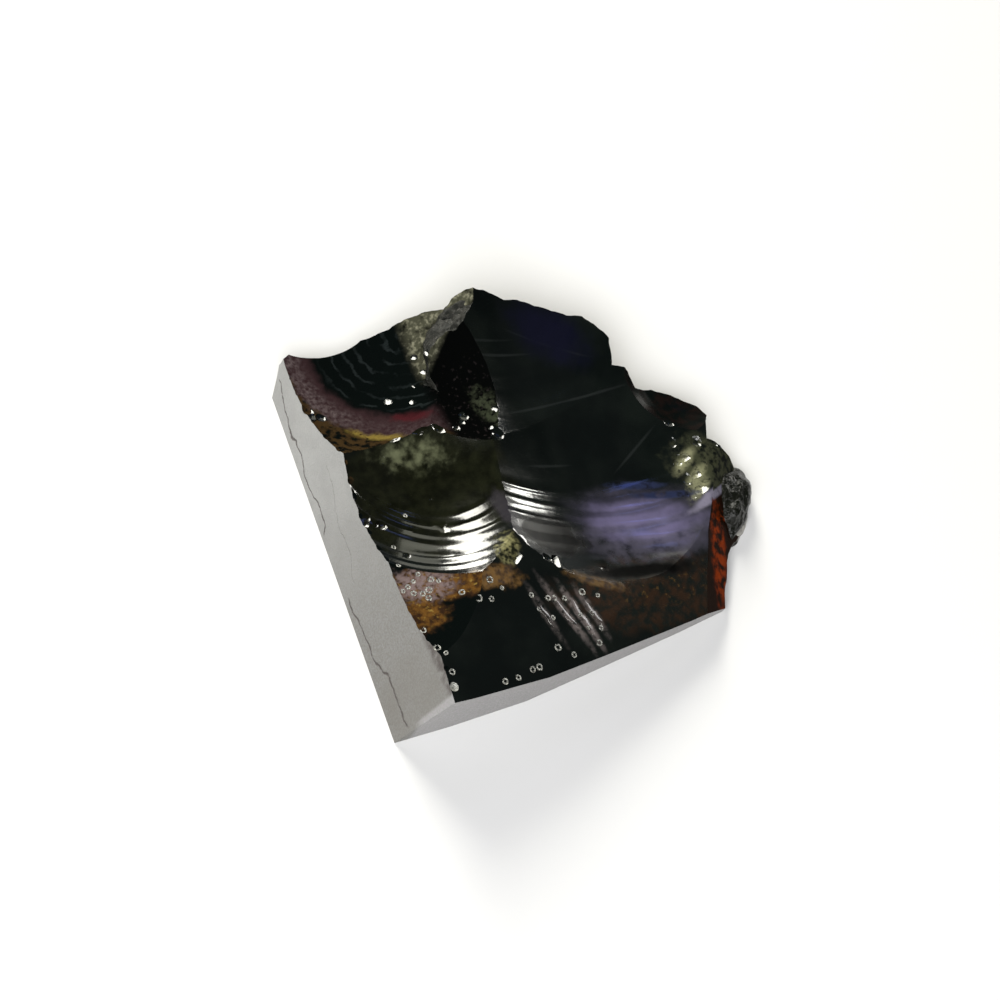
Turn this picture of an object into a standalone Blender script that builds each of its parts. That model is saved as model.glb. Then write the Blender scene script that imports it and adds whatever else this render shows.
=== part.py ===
"""A raw broken piece of shungite: a flat-bottomed offcut with two sawn sides and a knapped glassy top.

The stone is modelled the way it was made. A block with a ragged plan is bounded by sawn planes
and old break planes, and each flake scar is then struck out of it with a bowl-shaped cutter
whose ripples run round the point of the blow. Sizes are in millimetres and are turned into metres
where a mesh is made. +Z is up, and the finished stone stands on its flat sawn base with the
middle of its plan at the origin.
"""

import math

import bmesh
import bpy
from mathutils import Matrix, Vector, noise

MM = 0.001

# Plan of the stone, counter-clockwise from the sawn corner. +X runs along the short sawn face and
# +Y along the long one; from the far end of the front face round to the back it is broken rock.
SAWN_FRONT = [(-1.0, -0.1), (5.5, 0.0), (13.8, 0.4), (21.0, 1.4), (26.5, 2.2), (32.6, 3.1), (37.9, 4.0)]
BROKEN_EDGE = [
    (38.5, 5.6), (39.5, 7.3), (40.3, 9.0), (41.5, 10.7), (44.1, 12.4), (45.8, 14.2), (46.4, 15.8),
    (45.6, 17.8), (44.5, 19.8), (42.2, 21.2), (42.9, 22.6), (43.5, 24.3), (42.7, 26.0), (40.7, 27.7),
    (38.6, 28.9), (36.2, 28.9), (35.8, 30.4), (34.2, 31.6), (35.2, 34.4), (34.0, 36.2), (32.5, 37.4),
    (30.6, 38.3), (28.7, 38.9), (26.8, 39.8), (22.4, 40.9), (20.3, 41.4), (18.8, 41.5), (18.0, 41.0),
    (16.8, 41.6), (15.9, 42.0), (14.2, 42.3), (12.4, 41.8), (8.0, 41.5), (5.0, 41.1), (1.6, 41.4),
    (-1.0, 40.0),
]
BLOCK_TOP = 14.0
WALL_STEPS = 5
WALL_ROUGHNESS = 0.6
WALL_GRAIN = 3.4

# Planes that bound the block: a point on each, and the height gained per millimetre of +X and +Y.
SIDE_LEAN = 0.36
FRONT_LEAN = 0.06
SIDE_FACE = {"through": (-0.5, 0.0, 0.0), "rise": (1 / SIDE_LEAN, 0.0)}
TOP_FACET = {"through": (2.6, -1.1, 10.2), "rise": (-0.21, 0.10)}
FRONT_FACET = {"through": (18.5, 1.4, 7.0), "rise": (-0.269, 0.244)}
END_BEVEL = {"through": (39.1, 15.7, 5.2), "rise": (-0.74, 0.43)}

# Each flake scar: its lowest point, the radius of its bowl, the place of the blow from that point,
# the ripples as (distance of the first from the blow, spacing, how many, height), how far the
# cutter reaches, and where they differ from a plain upright scar, which way the scar faces and how
# much wider than deep its ripples are.
UP = (0.0, 0.0, 1.0)
SCARS = {
    "hollow_by_crest": {"low": (6.0, 39.0, 2.9), "bowl": 18.0, "blow": (2.0, 4.0), "ripples": (6.0, 1.5, 6, 0.07)},
    "shelf_by_crest": {"low": (15.6, 31.2, 6.3), "bowl": 9.5, "blow": (1.0, 6.0), "ripples": (5.0, 1.4, 4, 0.05)},
    "back_sweep": {"low": (30.0, 28.5, 5.3), "bowl": 27.0, "blow": (-7.0, 14.0), "ripples": (5.0, 2.6, 5, 0.06)},
    "olive_bowl": {"low": (7.8, 22.3, 5.6), "bowl": 17.0, "blow": (5.2, 7.2), "ripples": (10.6, 1.15, 7, 0.12)},
    "great_bowl": {
        "low": (32.8, 18.6, 3.4), "bowl": 30.0, "blow": (-4.6, 6.4), "ripples": (6.6, 1.45, 6, 0.14),
        "ripple_width": 1.8,
    },
    "rusty_dish": {"low": (2.5, 14.0, 7.9), "bowl": 22.0, "blow": (-6.0, -2.0), "ripples": (5.0, 1.8, 3, 0.06)},
    "end_flake": {"low": (41.0, 27.5, 3.6), "bowl": 10.0, "blow": (4.0, 3.0), "ripples": (4.0, 1.2, 3, 0.05)},
    "back_wall": {
        "low": (27.6, 38.3, 1.0), "bowl": 34.0, "blow": (0.0, 9.0), "ripples": (5.0, 1.8, 4, 0.08),
        "facing": (0.40, 0.90, -0.20),
    },
    "low_back_wall": {
        "low": (6.0, 38.3, 0.0), "bowl": 36.0, "blow": (2.0, 8.0), "ripples": (5.0, 1.8, 3, 0.08),
        "facing": (-0.03, 0.80, -0.58),
    },
    "end_wall": {
        "low": (41.0, 26.0, 0.8), "bowl": 16.0, "blow": (0.0, 6.0), "ripples": (4.0, 1.4, 3, 0.06),
        "facing": (0.74, 0.60, -0.30),
    },
}
SCAR_SEGMENTS = 44
SMOOTH_STEP = 2.6
CUTTER_LID = 30.0

# The rough skin left standing as a crest, and the rubbly lump at the far end.
CREST = {"from": (17.2, 34.0, 5.2), "to": (19.8, 38.2, 6.6), "radius": 3.9, "roughness": 1.0, "grain": 2.2}
LUMP = {"from": (42.0, 13.3, 0.2), "to": (43.9, 16.5, 0.9), "radius": 2.8, "roughness": 0.9, "grain": 2.4}
KNOB_DETAIL = 3

# Scallops nicked out of the ridges: place in plan, radius of the nick, and depth.
NICKS = [
    (18.6, 11.3, 2.2, 0.40), (15.0, 12.0, 1.6, 0.35), (8.5, 28.3, 1.5, 0.35), (10.8, 28.3, 1.4, 0.30),
    (13.3, 28.0, 1.4, 0.35), (15.8, 27.8, 1.5, 0.30), (18.3, 25.2, 1.3, 0.30), (1.6, 33.7, 1.3, 0.35),
    (2.2, 20.0, 1.4, 0.30), (3.8, 18.9, 1.3, 0.30), (3.0, 0.4, 1.4, 0.35),
    (38.4, 24.2, 1.4, 0.30), (40.4, 21.6, 1.3, 0.30),
]
# Hackle grooves that run down the front facet: both ends in plan.
HACKLES = [
    ((14.9, 8.8), (16.5, 3.6)), ((16.7, 8.9), (19.2, 2.8)), ((18.6, 8.0), (20.6, 2.4)),
    ((20.2, 7.6), (21.7, 3.4)),
]
HACKLE_RADIUS = 1.1
HACKLE_DEPTH = 0.16


def clear_scene():
    for leftover in list(bpy.data.objects):
        bpy.data.objects.remove(leftover)


def stone_material():
    material = bpy.data.materials.new("shungite")
    material.use_nodes = True
    shader = material.node_tree.nodes["Principled BSDF"]
    shader.inputs["Base Color"].default_value = (0.012, 0.013, 0.012, 1.0)
    shader.inputs["Roughness"].default_value = 0.22
    shader.inputs["Metallic"].default_value = 0.0
    return material


def add_object(name, mesh_data):
    mesh = bpy.data.meshes.new(name)
    bmesh.ops.recalc_face_normals(mesh_data, faces=mesh_data.faces)
    bmesh.ops.triangulate(mesh_data, faces=mesh_data.faces)
    mesh_data.transform(Matrix.Diagonal((MM, MM, MM, 1.0)))
    mesh_data.to_mesh(mesh)
    mesh_data.free()
    thing = bpy.data.objects.new(name, mesh)
    bpy.context.scene.collection.objects.link(thing)
    return thing


def saw_off_above(mesh_data, plane):
    """Saws off what lies above the plane and closes the cut."""
    rise_x, rise_y = plane["rise"]
    cut = bmesh.ops.bisect_plane(
        mesh_data,
        geom=mesh_data.verts[:] + mesh_data.edges[:] + mesh_data.faces[:],
        plane_co=plane["through"],
        plane_no=(-rise_x, -rise_y, 1.0),
        clear_outer=True,
    )
    rim = [item for item in cut["geom_cut"] if isinstance(item, bmesh.types.BMEdge)]
    bmesh.ops.edgenet_fill(mesh_data, edges=rim)


def bridge_rings(mesh_data, rings):
    count = len(rings[0])
    for lower, upper in zip(rings, rings[1:]):
        for a in range(count):
            b = (a + 1) % count
            mesh_data.faces.new((lower[a], lower[b], upper[b], upper[a]))


def sawn_block():
    """The ragged plan raised in steps, its broken walls roughened, its sawn faces left flat."""
    mesh_data = bmesh.new()
    levels = []
    for step in range(WALL_STEPS + 1):
        z = BLOCK_TOP * step / WALL_STEPS
        ring = [Vector((x, y - FRONT_LEAN * z, z)) for x, y in SAWN_FRONT]
        for x, y in BROKEN_EDGE:
            spot = Vector((x, y, z)) / WALL_GRAIN
            shift_x = noise.noise(spot) * WALL_ROUGHNESS
            shift_y = noise.noise(spot + Vector((7.0, 3.0, 5.0))) * WALL_ROUGHNESS
            ring.append(Vector((x + shift_x, y + shift_y, z)))
        levels.append([mesh_data.verts.new(point) for point in ring])
    bridge_rings(mesh_data, levels)
    mesh_data.faces.new(levels[0][::-1])
    mesh_data.faces.new(levels[-1])
    for plane in (SIDE_FACE, TOP_FACET, FRONT_FACET, END_BEVEL):
        saw_off_above(mesh_data, plane)
    return add_object("shungite_stone", mesh_data)


def ripple_steps(ripples, reach):
    """Distances from the blow at which a scar gets a ring of points, each with its swell."""
    first, spacing, count, height = ripples
    steps = []
    distance = SMOOTH_STEP
    while distance < first - spacing:
        steps.append((distance, 0.0))
        distance += SMOOTH_STEP
    for number in range(count):
        crest = first + spacing * number
        swell = height * (1.0 - 0.5 * number / count)
        steps += [(crest - 0.62 * spacing, 0.0), (crest, swell)]
    distance = first + spacing * (count - 0.4)
    while distance < reach:
        steps.append((distance, 0.0))
        distance += SMOOTH_STEP
    return steps


def bowl_rise(x, y, radius):
    out = min(math.hypot(x, y), 0.97 * radius)
    return radius - math.sqrt(radius * radius - out * out)


def scar_cutter(name, low, bowl, blow, ripples, facing=UP, ripple_width=1.0):
    """A bowl whose rings of points run round the blow, lower at each ripple, closed by a lid."""
    widest = Vector((0.974, -0.227))
    across = Vector((0.227, 0.974))
    turn = Vector(UP).rotation_difference(Vector(facing).normalized()).to_matrix()
    mesh_data = bmesh.new()
    rings = []
    for distance, swell in ripple_steps(ripples, bowl + Vector(blow).length):
        ring = []
        for number in range(SCAR_SEGMENTS):
            angle = math.tau * number / SCAR_SEGMENTS
            place = Vector(blow) + distance * math.sin(angle) * across
            place += distance * ripple_width * math.cos(angle) * widest
            height = bowl_rise(place.x, place.y, bowl) - swell
            ring.append(mesh_data.verts.new(Vector(low) + turn @ Vector((*place, height))))
        rings.append(ring)
    middle = mesh_data.verts.new(Vector(low) + turn @ Vector((*blow, bowl_rise(*blow, bowl))))
    lid = [mesh_data.verts.new(corner.co + turn @ Vector((0.0, 0.0, CUTTER_LID))) for corner in rings[-1]]
    rings.append(lid)
    bridge_rings(mesh_data, rings)
    for a in range(SCAR_SEGMENTS):
        mesh_data.faces.new((rings[0][a], rings[0][(a + 1) % SCAR_SEGMENTS], middle))
    mesh_data.faces.new(lid)
    return add_object(name, mesh_data)


def knob(name, size):
    """A rubbly rounded body between two points, its surface pushed in and out, flat where it stands."""
    start, end = Vector(size["from"]), Vector(size["to"])
    span = end - start
    mesh_data = bmesh.new()
    bmesh.ops.create_icosphere(mesh_data, subdivisions=KNOB_DETAIL, radius=1.0)
    for vertex in mesh_data.verts:
        bare = vertex.co.copy()
        slide = 0.5 + 0.5 * bare.dot(span.normalized())
        bump = noise.noise(bare * size["radius"] / size["grain"] + start)
        vertex.co = start + span * slide + bare * (size["radius"] + size["roughness"] * bump)
        vertex.co.z = max(vertex.co.z, 0.0)
    return add_object(name, mesh_data)


def drop_on(stone, x, y):
    """Where a plumb line at this place in plan meets the stone, and which way it faces there."""
    shaped = stone.evaluated_get(bpy.context.evaluated_depsgraph_get())
    start = Vector((x, y, 2.0 * BLOCK_TOP)) * MM
    _, place, normal, _ = shaped.ray_cast(start, Vector((0.0, 0.0, -1.0)))
    return place / MM, normal


def nick_cutter(stone):
    """One ball for each scallop, sunk by its depth into the ridge that it chips."""
    mesh_data = bmesh.new()
    for x, y, radius, depth in NICKS:
        place, normal = drop_on(stone, x, y)
        centre = Matrix.Translation(place + normal * (radius - depth))
        bmesh.ops.create_icosphere(mesh_data, subdivisions=2, radius=radius, matrix=centre)
    return add_object("ridge_nicks", mesh_data)


def hackle_cutter(stone):
    """Long thin ellipsoids laid along the front facet, each sunk by the depth of its groove."""
    mesh_data = bmesh.new()
    for start, end in HACKLES:
        head, normal = drop_on(stone, *start)
        foot, _ = drop_on(stone, *end)
        run = foot - head
        frame = Matrix((run.normalized(), normal.cross(run.normalized()), normal)).transposed()
        middle = (head + foot) / 2 + normal * (HACKLE_RADIUS - HACKLE_DEPTH)
        size = Matrix.Diagonal((run.length, 0.8 * HACKLE_RADIUS, HACKLE_RADIUS, 1.0))
        placed = Matrix.Translation(middle) @ frame.to_4x4() @ size
        bmesh.ops.create_icosphere(mesh_data, subdivisions=2, radius=1.0, matrix=placed)
    return add_object("front_hackles", mesh_data)


def apply_tool(stone, tool, operation):
    tool.hide_render = True
    tool.display_type = "WIRE"
    step = stone.modifiers.new(tool.name, "BOOLEAN")
    step.object = tool
    step.operation = operation
    step.solver = "EXACT"


def strike(stone, names):
    for name in names:
        apply_tool(stone, scar_cutter(name, **SCARS[name]), "DIFFERENCE")


def stand_at_origin(stone):
    """Parents everything to an empty that brings the middle of the plan over the origin."""
    bpy.context.view_layer.update()
    shaped = stone.evaluated_get(bpy.context.evaluated_depsgraph_get())
    corners = [Vector(corner) for corner in shaped.bound_box]
    low = Vector([min(corner[axis] for corner in corners) for axis in range(3)])
    high = Vector([max(corner[axis] for corner in corners) for axis in range(3)])
    middle = (low + high) / 2
    carrier = bpy.data.objects.new("plan_middle", None)
    bpy.context.scene.collection.objects.link(carrier)
    carrier.location = (-middle.x, -middle.y, -low.z)
    for thing in bpy.data.objects:
        if thing.type == "MESH":
            thing.parent = carrier


def build():
    clear_scene()
    stone = sawn_block()
    stone.data.materials.append(stone_material())
    scars = list(SCARS)
    strike(stone, scars[:1])
    apply_tool(stone, knob("crest", CREST), "UNION")
    strike(stone, scars[1:])
    apply_tool(stone, knob("lump", LUMP), "UNION")
    nicks = nick_cutter(stone)
    hackles = hackle_cutter(stone)
    apply_tool(stone, nicks, "DIFFERENCE")
    apply_tool(stone, hackles, "DIFFERENCE")
    stand_at_origin(stone)


build()
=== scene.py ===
"""A raw shungite stone: knapped glassy black rock with two pale sawn sides, lying on its flat base."""

import math
import random

import bpy
from mathutils import Matrix, Vector, noise


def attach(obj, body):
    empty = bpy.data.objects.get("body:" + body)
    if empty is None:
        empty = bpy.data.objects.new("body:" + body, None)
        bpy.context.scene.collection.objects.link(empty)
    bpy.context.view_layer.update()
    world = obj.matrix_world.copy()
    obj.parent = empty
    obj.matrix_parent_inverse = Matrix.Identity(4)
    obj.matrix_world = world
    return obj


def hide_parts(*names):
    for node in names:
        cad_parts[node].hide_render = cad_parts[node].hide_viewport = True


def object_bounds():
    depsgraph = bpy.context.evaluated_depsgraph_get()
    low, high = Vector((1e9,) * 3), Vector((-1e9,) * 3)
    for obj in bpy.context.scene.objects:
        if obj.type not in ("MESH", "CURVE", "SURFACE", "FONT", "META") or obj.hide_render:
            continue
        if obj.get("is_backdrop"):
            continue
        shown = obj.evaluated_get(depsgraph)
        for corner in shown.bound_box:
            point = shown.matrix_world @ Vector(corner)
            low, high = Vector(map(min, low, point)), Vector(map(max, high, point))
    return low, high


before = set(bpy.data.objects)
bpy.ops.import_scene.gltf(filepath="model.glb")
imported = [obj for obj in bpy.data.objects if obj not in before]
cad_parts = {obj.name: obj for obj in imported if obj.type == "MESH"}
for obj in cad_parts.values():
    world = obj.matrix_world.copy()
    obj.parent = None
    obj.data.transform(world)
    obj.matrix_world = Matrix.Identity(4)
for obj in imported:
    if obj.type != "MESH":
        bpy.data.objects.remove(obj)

cad_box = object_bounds()

# ---- Camera -------------------------------------------------------------------------------------
# A camera with a long lens is held at a tilt 0.2 m from the stone. It looks down over the sawn
# corner, from 60 degrees above the table.
MM = 0.001
# The stone is measured in millimetres from its sawn corner, which lies this far inside its box.
CORNER = cad_box[0] / MM + Vector((0.5, 0.63, 0.0))
VIEW_TURN = math.radians(-47.4)
VIEW_DROP = math.radians(60.0)
VIEW_ROLL = math.radians(30.0)
VIEW_DISTANCE = 200.0
VIEW_LENS = 69.12
LOOK_AT = Vector((19.13, 21.93, 0.0))

view = bpy.data.cameras.new("view")
view.lens = VIEW_LENS
camera = bpy.data.objects.new("view", view)
bpy.context.scene.collection.objects.link(camera)
turned = Matrix.Rotation(VIEW_TURN, 4, "Z") @ Matrix.Rotation(math.pi / 2 - VIEW_DROP, 4, "X")
aim = Matrix.Translation((CORNER + LOOK_AT) * MM) @ turned
back = Matrix.Translation((0, 0, VIEW_DISTANCE * MM))
camera.matrix_world = aim @ Matrix.Rotation(VIEW_ROLL, 4, "Z") @ back
bpy.context.scene.camera = camera


# ---- The sawn block -----------------------------------------------------------------------------
# The stone before it was struck: its two sawn sides are flat, and the rest of its wall is old
# broken rock. The plan is raised in thin courses, so that the broken wall can be roughened.
SAWN_FRONT = [(-1.0, -0.08), (5.5, 0.0), (13.8, 0.4), (21.0, 1.4), (26.5, 2.2), (32.6, 3.1), (37.9, 4.0)]
BROKEN_EDGE = [
    (38.5, 5.6), (39.5, 7.3), (40.3, 9.0), (41.5, 10.7), (44.1, 12.4), (45.8, 14.2), (46.4, 15.8),
    (45.6, 17.8), (44.5, 19.8), (42.2, 21.2), (42.9, 22.6), (43.5, 24.3), (42.7, 26.0), (40.7, 27.7),
    (38.6, 28.9), (36.2, 28.9), (35.8, 30.4), (34.2, 31.6), (35.2, 34.4), (34.0, 36.2), (32.5, 37.4),
    (30.6, 38.3), (28.7, 38.9), (26.8, 39.8), (22.4, 40.9), (20.3, 41.4), (18.8, 41.5), (18.0, 41.0),
    (16.8, 41.6), (15.9, 42.0), (14.2, 42.3), (12.4, 41.8), (8.0, 41.5), (5.0, 41.1), (1.6, 41.4),
    (-1.0, 40.0),
]
BLOCK_TOP = 14.0
COURSES = 40
EDGE_SPACING = 0.4
FRONT_LEAN = 0.06
SIDE_LEAN = 0.36
SIDE_FOOT = -0.5
# Size of the lumps of the broken wall, and how far they stand in and out.
WALL_GRAINS = [(3.4, 0.60), (1.2, 0.16), (0.5, 0.07)]


def finer(points, spacing):
    fine = []
    for start, end in zip(points, points[1:]):
        steps = max(1, round((end - start).length / spacing))
        fine += [start.lerp(end, step / steps) for step in range(steps)]
    return fine


def rough(spot, grains):
    """How far a broken surface stands out at a spot, summed over its lumps from coarse to fine."""
    return sum(height * noise.noise(spot / size) for size, height in grains)


def alone(thing):
    bpy.ops.object.select_all(action="DESELECT")
    thing.select_set(True)
    bpy.context.view_layer.objects.active = thing


def edit_whole(thing):
    alone(thing)
    bpy.ops.object.mode_set(mode="EDIT")
    bpy.ops.mesh.select_all(action="SELECT")


def new_object(name, points, edges=(), faces=()):
    mesh = bpy.data.meshes.new(name)
    mesh.from_pydata(points, edges, faces)
    thing = bpy.data.objects.new(name, mesh)
    bpy.context.scene.collection.objects.link(thing)
    return thing


front = [Vector((x, y, 0.0)) for x, y in SAWN_FRONT]
broken = finer([Vector((x, y, 0.0)) for x, y in BROKEN_EDGE], EDGE_SPACING)
plan = front + broken + [Vector((*BROKEN_EDGE[-1], 0.0))]
stone = new_object("stone", plan, faces=[list(range(len(plan)))])
edit_whole(stone)
for course in range(COURSES):
    bpy.ops.mesh.extrude_region_move(TRANSFORM_OT_translate={"value": (0, 0, BLOCK_TOP / COURSES)})
bpy.ops.mesh.select_all(action="SELECT")
bpy.ops.mesh.normals_make_consistent(inside=False)
bpy.ops.object.mode_set(mode="OBJECT")
sawn_spots = {(round(x, 3), round(y, 3)) for x, y in SAWN_FRONT}
for vertex in stone.data.vertices:
    spot = vertex.co.copy()
    if (round(spot.x, 3), round(spot.y, 3)) in sawn_spots:
        vertex.co.y -= FRONT_LEAN * spot.z
    else:
        vertex.co.x += rough(spot, WALL_GRAINS)
        vertex.co.y += rough(spot + Vector((7.0, 3.0, 5.0)) * WALL_GRAINS[0][0], WALL_GRAINS)
edit_whole(stone)
SIDE_OUT = Vector((-1.0, 0.0, SIDE_LEAN)).normalized()
bpy.ops.mesh.bisect(plane_co=(SIDE_FOOT, 0, 0), plane_no=SIDE_OUT, use_fill=True, clear_outer=True)
bpy.ops.object.mode_set(mode="OBJECT")

# ---- The breaks and flake scars -----------------------------------------------------------------
# Shungite breaks like glass. Each blow lifted a shell-shaped flake and left a bowl with ripples
# round the point of the blow. Each scar is cut by a bowl turned about that point.
UP = (0.0, 0.0, 1.0)
# The old flat breaks: a point on each, and the height gained per millimetre of +X and +Y.
BREAKS = {
    "top_facet": ((2.6, -1.1, 10.2), (-0.21, 0.10)),
    "front_facet": ((18.5, 1.4, 7.0), (-0.269, 0.244)),
    "end_bevel": ((39.1, 15.7, 5.2), (-0.74, 0.43)),
}
FLAT_BREAK = {"bowl": 3000.0, "blow": (4.0, -9.0), "ripples": (9.0, 3.0, 5, 0.02), "reach": 60.0}
# Each scar: its lowest point, the radius of its bowl, the place of the blow from that point, the
# ripples as (distance of the first from the blow, spacing, how many, height), and where they
# differ, which way it faces, how much longer its ripples are than deep and along which bearing, how
# fast they fade, and how many steps go round it.
SCARS = {
    "hollow_by_crest": {
        "low": (6.0, 39.0, 2.9), "bowl": 18.0, "blow": (2.0, 4.0), "ripples": (6.0, 1.5, 6, 0.07),
    },
    "shelf_by_crest": {
        "low": (15.6, 31.2, 6.3), "bowl": 9.5, "blow": (1.0, 6.0), "ripples": (5.0, 1.4, 4, 0.05),
    },
    "back_sweep": {
        "low": (30.0, 28.5, 5.3), "bowl": 27.0, "blow": (-7.0, 14.0), "ripples": (5.0, 2.6, 5, 0.06),
    },
    "olive_bowl": {
        "low": (7.8, 22.3, 5.6), "bowl": 17.0, "blow": (5.2, 7.2), "ripples": (10.6, 1.15, 7, 0.12),
    },
    "great_bowl": {
        "low": (32.8, 18.6, 3.4), "bowl": 30.0, "blow": (-19.5, 13.6), "ripples": (10.3, 1.9, 5, 0.18),
        "stretch": (3.0, -16.4), "fading": 1.1, "segments": 420,
    },
    "rusty_dish": {
        "low": (2.5, 14.0, 8.15), "bowl": 22.0, "blow": (-6.0, -2.0), "ripples": (5.0, 1.8, 3, 0.06),
    },
    "end_flake": {
        "low": (41.0, 27.5, 3.6), "bowl": 10.0, "blow": (4.0, 3.0), "ripples": (4.0, 1.2, 3, 0.05),
    },
    "back_wall": {
        "low": (27.6, 38.3, 1.0), "bowl": 34.0, "blow": (0.0, 9.0), "ripples": (5.0, 1.8, 4, 0.08),
        "facing": (0.40, 0.90, -0.20),
    },
    "low_back_wall": {
        "low": (6.0, 38.3, 0.0), "bowl": 36.0, "blow": (2.0, 8.0), "ripples": (5.0, 1.8, 3, 0.08),
        "facing": (-0.03, 0.80, -0.58),
    },
    "end_wall": {
        "low": (41.0, 26.0, 0.8), "bowl": 16.0, "blow": (0.0, 6.0), "ripples": (4.0, 1.4, 3, 0.06),
        "facing": (0.74, 0.60, -0.30),
    },
}
# A bowl levels out at this part of its radius, before its wall would stand upright.
BOWL_REACH = 0.97
# The rings of a scar are this far apart up to the fine reach. Beyond it they grow wider, by as much
# again over every widening.
RING_SPACING = 0.22
FINE_REACH = 20.0
WIDENING = 3.0
SCAR_SEGMENTS = 200
WELD = 0.0005
CUTTER_LID = 30.0
# Faint swellings of a glassy break: size across and height.
GLASS_WAVES = [(5.0, 0.05), (1.7, 0.012)]
# How fast the ripples wander out and in round the blow, over how many ripples, and how far.
DRIFT_TURN, DRIFT_LENGTH, DRIFT = 1.6, 3.0, 0.45
# How much of a ripple's spacing the first one rises over, and the least that a ripple fades to.
RIPPLE_ONSET, LEAST_RIPPLE = 0.6, 0.3
# How fast the ripples' height changes round the blow, its mean, and how far it goes from that.
UNEVEN_TURN, MEAN_RIPPLE, UNEVENNESS = 2.3, 0.75, 0.6
CREST_SHARPNESS = 1.6
# The faint ripples between the others: how many to one of those, and their height next to them.
FAINT_RIPPLES, FAINT_HEIGHT = 2.6, 0.16


def bowl_rise(x, y, radius):
    out = min(math.hypot(x, y), BOWL_REACH * radius)
    return radius - math.sqrt(radius * radius - out * out)


def eased(value):
    value = max(0.0, min(1.0, value))
    return value * value * (3.0 - 2.0 * value)


def ripple_swell(around, distance, ripples, fading):
    """How far the ripples swell out of a scar, this far from the blow in this direction."""
    first, spacing, count, height = ripples
    turning = (DRIFT_TURN * around.x, DRIFT_TURN * around.y)
    drift = noise.noise(Vector((*turning, distance / (DRIFT_LENGTH * spacing))))
    number = (distance - first) / spacing + DRIFT * drift
    onset = eased(number + RIPPLE_ONSET)
    wane = max(LEAST_RIPPLE, 1.0 - fading * number / count)
    uneven = noise.noise(Vector((UNEVEN_TURN * around.x, UNEVEN_TURN * around.y, 9.0 + number)))
    strength = MEAN_RIPPLE + UNEVENNESS * uneven
    swell = (0.5 + 0.5 * math.cos(math.tau * number)) ** CREST_SHARPNESS
    faint = FAINT_HEIGHT * math.sin(math.tau * FAINT_RIPPLES * number + 4.0 * drift)
    return height * onset * wane * strength * (swell + faint)


def press_scar(thing, low, bowl, blow, ripples, facing, stretch, fading):
    """Presses a flat disc of rings about the blow into the scar's bowl, and stands it in its place."""
    longer, bearing = stretch
    widest = Vector((math.cos(math.radians(bearing)), math.sin(math.radians(bearing))))
    across = Vector((-widest.y, widest.x))
    turn = Vector(UP).rotation_difference(Vector(facing).normalized()).to_matrix()
    for vertex in thing.data.vertices:
        flat = Vector((vertex.co.x, vertex.co.y))
        place = Vector(blow) + flat.y * across + flat.x * longer * widest
        height = vertex.co.z
        if height < CUTTER_LID / 2:
            spot = Vector((place.x, place.y, bowl))
            height = bowl_rise(place.x, place.y, bowl) + rough(spot, GLASS_WAVES)
            if flat.length > 0.0:
                height -= ripple_swell(flat.normalized(), flat.length, ripples, fading)
        vertex.co = Vector(low) + turn @ Vector((place.x, place.y, height))


def scar_cutter(
    name, low, bowl, blow, ripples,
    facing=UP, stretch=(1.0, 0.0), fading=0.5, segments=SCAR_SEGMENTS, reach=None,
):
    """A radius of the scar spun round the blow, with a lid well above the stone."""
    reach = reach or bowl + Vector(blow).length
    radius = [(0.0, 0.0, 0.0)]
    while radius[-1][0] < reach:
        distance = radius[-1][0]
        wider = max(1.0, (distance - FINE_REACH) / WIDENING)
        radius.append((distance + RING_SPACING * wider, 0.0, 0.0))
    radius += [(radius[-1][0], 0.0, CUTTER_LID), (0.0, 0.0, CUTTER_LID)]
    thing = new_object(name, radius, edges=[(a, a + 1) for a in range(len(radius) - 1)])
    edit_whole(thing)
    bpy.ops.mesh.spin(steps=segments, angle=math.tau, center=(0, 0, 0), axis=(0, 0, 1))
    bpy.ops.mesh.select_all(action="SELECT")
    bpy.ops.mesh.remove_doubles(threshold=WELD)
    bpy.ops.object.mode_set(mode="OBJECT")
    press_scar(thing, low, bowl, blow, ripples, facing, stretch, fading)
    edit_whole(thing)
    bpy.ops.mesh.normals_make_consistent(inside=False)
    bpy.ops.object.mode_set(mode="OBJECT")
    return thing


# The stone's finishes, which the sections below work out.
FINISHES = ("old_wall", "glass", "stained", "rind", "sawn", "dust_and_glint")
old_wall, glass, stained, rind, sawn, dust_and_glint = [bpy.data.materials.new(name) for name in FINISHES]
STAINED_BREAKS = ("end_bevel", "hollow_by_crest", "shelf_by_crest", "rusty_dish", "end_flake")


def shape_with(tool, operation):
    alone(stone)
    step = stone.modifiers.new(tool.name, "BOOLEAN")
    step.object = tool
    step.operation = operation
    step.solver = "MANIFOLD"
    step.material_mode = "TRANSFER"
    bpy.ops.object.modifier_apply(modifier=step.name)
    bpy.data.objects.remove(tool)


def finish_of(thing, material):
    thing.data.materials.clear()
    thing.data.materials.append(material)
    return thing


finish_of(stone, old_wall)
for name, (through, rise) in BREAKS.items():
    facing = (-rise[0], -rise[1], 1.0)
    flat_break = scar_cutter(name, through, facing=facing, **FLAT_BREAK)
    shape_with(finish_of(flat_break, stained if name in STAINED_BREAKS else glass), "DIFFERENCE")


def strike(name):
    material = stained if name in STAINED_BREAKS else glass
    shape_with(finish_of(scar_cutter(name, **SCARS[name]), material), "DIFFERENCE")


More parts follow.
